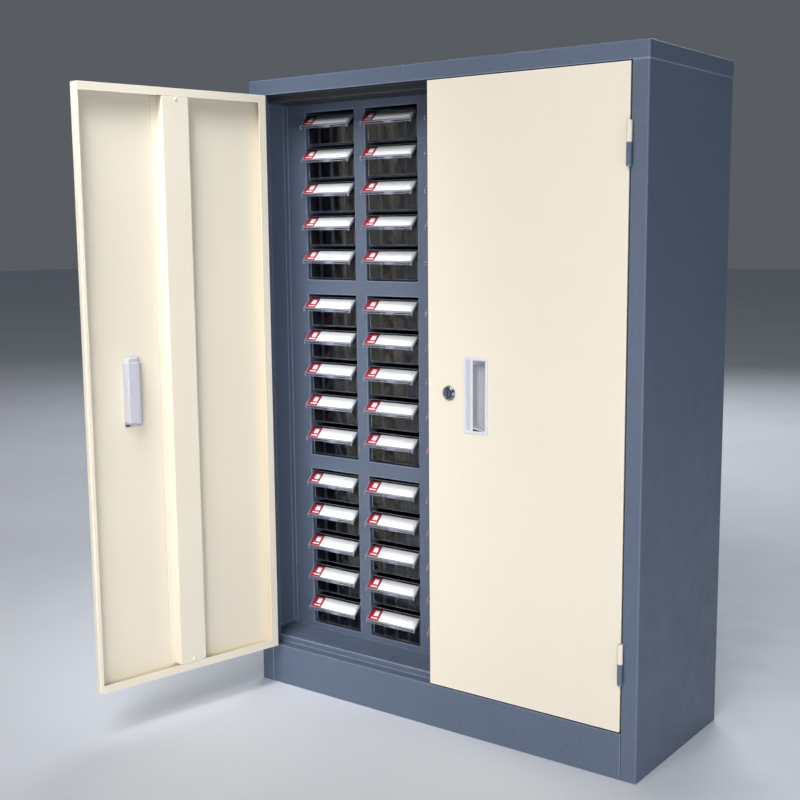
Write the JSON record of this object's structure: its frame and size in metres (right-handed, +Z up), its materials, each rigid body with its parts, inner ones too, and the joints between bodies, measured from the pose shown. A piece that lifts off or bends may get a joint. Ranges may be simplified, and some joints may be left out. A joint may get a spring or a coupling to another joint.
{
  "type": "parts organizer",
  "caption": "Free-standing steel parts cabinet: two hinged doors, one lockable, over a grid of small clear pull-out drawers with sloping label lips.",
  "frame": {"origin": "centre of the case's footprint on the floor, on the underside of the base plate", "axes": "+Z up; -Y towards the doors; +X towards the lockable right door as seen from the front"},
  "size_m": [0.7399, 0.6048, 1],
  "materials": {
    "case_paint": "textured",
    "door_paint": "satin",
    "pull_plastic": "satin",
    "lock_chrome": "polished",
    "zinc_steel": "zinc plated",
    "clear_drawer": "clear"
  },
  "bodies": {
    "case": {"left_side_panel": "case_paint", "right_side_panel": "case_paint", "top_cover": "case_paint", "back_panel": "case_paint", "base_plate": "case_paint", "plinth": "case_paint", "floor_shelf": "case_paint", "header_rail": "case_paint", "jamb_liners": "case_paint", "drawer_grille": "case_paint", "drawer_rack": "case_paint", "case_hinge_knuckles": "case_paint", "hinge_pins": "zinc_steel", "column_3_drawers": "clear_drawer", "column_4_drawers": "clear_drawer", "column_5_drawers": "clear_drawer"},
    "left_door": {"left_door_panel": "door_paint", "left_door_stiffener": "door_paint", "left_door_pull": "pull_plastic", "left_door_knuckles": "door_paint"},
    "right_door": {"right_door_panel": "door_paint", "right_door_stiffener": "door_paint", "right_door_pull": "pull_plastic", "right_door_knuckles": "door_paint", "lock_barrel": "lock_chrome", "lock_nut": "zinc_steel"},
    "lock": {"lock_plug": "lock_chrome", "lock_cam": "zinc_steel", "cam_screw": "zinc_steel"},
    "drawer_1_01": {"drawer_1_01": "clear_drawer"},
    "drawer_1_02": {"drawer_1_02": "clear_drawer"},
    "drawer_1_03": {"drawer_1_03": "clear_drawer"},
    "drawer_1_04": {"drawer_1_04": "clear_drawer"},
    "drawer_1_05": {"drawer_1_05": "clear_drawer"},
    "drawer_1_06": {"drawer_1_06": "clear_drawer"},
    "drawer_1_07": {"drawer_1_07": "clear_drawer"},
    "drawer_1_08": {"drawer_1_08": "clear_drawer"},
    "drawer_1_09": {"drawer_1_09": "clear_drawer"},
    "drawer_1_10": {"drawer_1_10": "clear_drawer"},
    "drawer_1_11": {"drawer_1_11": "clear_drawer"},
    "drawer_1_12": {"drawer_1_12": "clear_drawer"},
    "drawer_1_13": {"drawer_1_13": "clear_drawer"},
    "drawer_1_14": {"drawer_1_14": "clear_drawer"},
    "drawer_1_15": {"drawer_1_15": "clear_drawer"},
    "drawer_2_01": {"drawer_2_01": "clear_drawer"},
    "drawer_2_02": {"drawer_2_02": "clear_drawer"},
    "drawer_2_03": {"drawer_2_03": "clear_drawer"},
    "drawer_2_04": {"drawer_2_04": "clear_drawer"},
    "drawer_2_05": {"drawer_2_05": "clear_drawer"},
    "drawer_2_06": {"drawer_2_06": "clear_drawer"},
    "drawer_2_07": {"drawer_2_07": "clear_drawer"},
    "drawer_2_08": {"drawer_2_08": "clear_drawer"},
    "drawer_2_09": {"drawer_2_09": "clear_drawer"},
    "drawer_2_10": {"drawer_2_10": "clear_drawer"},
    "drawer_2_11": {"drawer_2_11": "clear_drawer"},
    "drawer_2_12": {"drawer_2_12": "clear_drawer"},
    "drawer_2_13": {"drawer_2_13": "clear_drawer"},
    "drawer_2_14": {"drawer_2_14": "clear_drawer"},
    "drawer_2_15": {"drawer_2_15": "clear_drawer"}
  },
  "joints": [
    {"name": "left_door_hinge", "type": "hinge", "parent": "case", "child": "left_door", "pos_m": [-0.3253, -0.144, 0.52], "axis": [0, 0, -1], "range_deg": [-102.2, 12.8]},
    {"name": "right_door_hinge", "type": "hinge", "parent": "case", "child": "right_door", "pos_m": [0.3253, -0.144, 0.52], "axis": [0, 0, 1], "range_deg": [0, 115]},
    {"name": "lock_turn", "type": "hinge", "parent": "right_door", "child": "lock", "pos_m": [0.0397, -0.14, 0.5234], "axis": [0, -1, 0], "range_deg": [0, 90]},
    {"name": "drawer_1_01_slide", "type": "slide", "parent": "case", "child": "drawer_1_01", "axis": [0, -1, 0], "range_m": [0, 0.15]},
    {"name": "drawer_1_02_slide", "type": "slide", "parent": "case", "child": "drawer_1_02", "axis": [0, -1, 0], "range_m": [0, 0.15]},
    {"name": "drawer_1_03_slide", "type": "slide", "parent": "case", "child": "drawer_1_03", "axis": [0, -1, 0], "range_m": [0, 0.15]},
    {"name": "drawer_1_04_slide", "type": "slide", "parent": "case", "child": "drawer_1_04", "axis": [0, -1, 0], "range_m": [0, 0.15]},
    {"name": "drawer_1_05_slide", "type": "slide", "parent": "case", "child": "drawer_1_05", "axis": [0, -1, 0], "range_m": [0, 0.15]},
    {"name": "drawer_1_06_slide", "type": "slide", "parent": "case", "child": "drawer_1_06", "axis": [0, -1, 0], "range_m": [0, 0.15]},
    {"name": "drawer_1_07_slide", "type": "slide", "parent": "case", "child": "drawer_1_07", "axis": [0, -1, 0], "range_m": [0, 0.15]},
    {"name": "drawer_1_08_slide", "type": "slide", "parent": "case", "child": "drawer_1_08", "axis": [0, -1, 0], "range_m": [0, 0.15]},
    {"name": "drawer_1_09_slide", "type": "slide", "parent": "case", "child": "drawer_1_09", "axis": [0, -1, 0], "range_m": [0, 0.15]},
    {"name": "drawer_1_10_slide", "type": "slide", "parent": "case", "child": "drawer_1_10", "axis": [0, -1, 0], "range_m": [0, 0.15]},
    {"name": "drawer_1_11_slide", "type": "slide", "parent": "case", "child": "drawer_1_11", "axis": [0, -1, 0], "range_m": [0, 0.15]},
    {"name": "drawer_1_12_slide", "type": "slide", "parent": "case", "child": "drawer_1_12", "axis": [0, -1, 0], "range_m": [0, 0.15]},
    {"name": "drawer_1_13_slide", "type": "slide", "parent": "case", "child": "drawer_1_13", "axis": [0, -1, 0], "range_m": [0, 0.15]},
    {"name": "drawer_1_14_slide", "type": "slide", "parent": "case", "child": "drawer_1_14", "axis": [0, -1, 0], "range_m": [0, 0.15]},
    {"name": "drawer_1_15_slide", "type": "slide", "parent": "case", "child": "drawer_1_15", "axis": [0, -1, 0], "range_m": [0, 0.15]},
    {"name": "drawer_2_01_slide", "type": "slide", "parent": "case", "child": "drawer_2_01", "axis": [0, -1, 0], "range_m": [0, 0.15]},
    {"name": "drawer_2_02_slide", "type": "slide", "parent": "case", "child": "drawer_2_02", "axis": [0, -1, 0], "range_m": [0, 0.15]},
    {"name": "drawer_2_03_slide", "type": "slide", "parent": "case", "child": "drawer_2_03", "axis": [0, -1, 0], "range_m": [0, 0.15]},
    {"name": "drawer_2_04_slide", "type": "slide", "parent": "case", "child": "drawer_2_04", "axis": [0, -1, 0], "range_m": [0, 0.15]},
    {"name": "drawer_2_05_slide", "type": "slide", "parent": "case", "child": "drawer_2_05", "axis": [0, -1, 0], "range_m": [0, 0.15]},
    {"name": "drawer_2_06_slide", "type": "slide", "parent": "case", "child": "drawer_2_06", "axis": [0, -1, 0], "range_m": [0, 0.15]},
    {"name": "drawer_2_07_slide", "type": "slide", "parent": "case", "child": "drawer_2_07", "axis": [0, -1, 0], "range_m": [0, 0.15]},
    {"name": "drawer_2_08_slide", "type": "slide", "parent": "case", "child": "drawer_2_08", "axis": [0, -1, 0], "range_m": [0, 0.15]},
    {"name": "drawer_2_09_slide", "type": "slide", "parent": "case", "child": "drawer_2_09", "axis": [0, -1, 0], "range_m": [0, 0.15]},
    {"name": "drawer_2_10_slide", "type": "slide", "parent": "case", "child": "drawer_2_10", "axis": [0, -1, 0], "range_m": [0, 0.15]},
    {"name": "drawer_2_11_slide", "type": "slide", "parent": "case", "child": "drawer_2_11", "axis": [0, -1, 0], "range_m": [0, 0.15]},
    {"name": "drawer_2_12_slide", "type": "slide", "parent": "case", "child": "drawer_2_12", "axis": [0, -1, 0], "range_m": [0, 0.15]},
    {"name": "drawer_2_13_slide", "type": "slide", "parent": "case", "child": "drawer_2_13", "axis": [0, -1, 0], "range_m": [0, 0.15]},
    {"name": "drawer_2_14_slide", "type": "slide", "parent": "case", "child": "drawer_2_14", "axis": [0, -1, 0], "range_m": [0, 0.15]},
    {"name": "drawer_2_15_slide", "type": "slide", "parent": "case", "child": "drawer_2_15", "axis": [0, -1, 0], "range_m": [0, 0.15]}
  ]
}
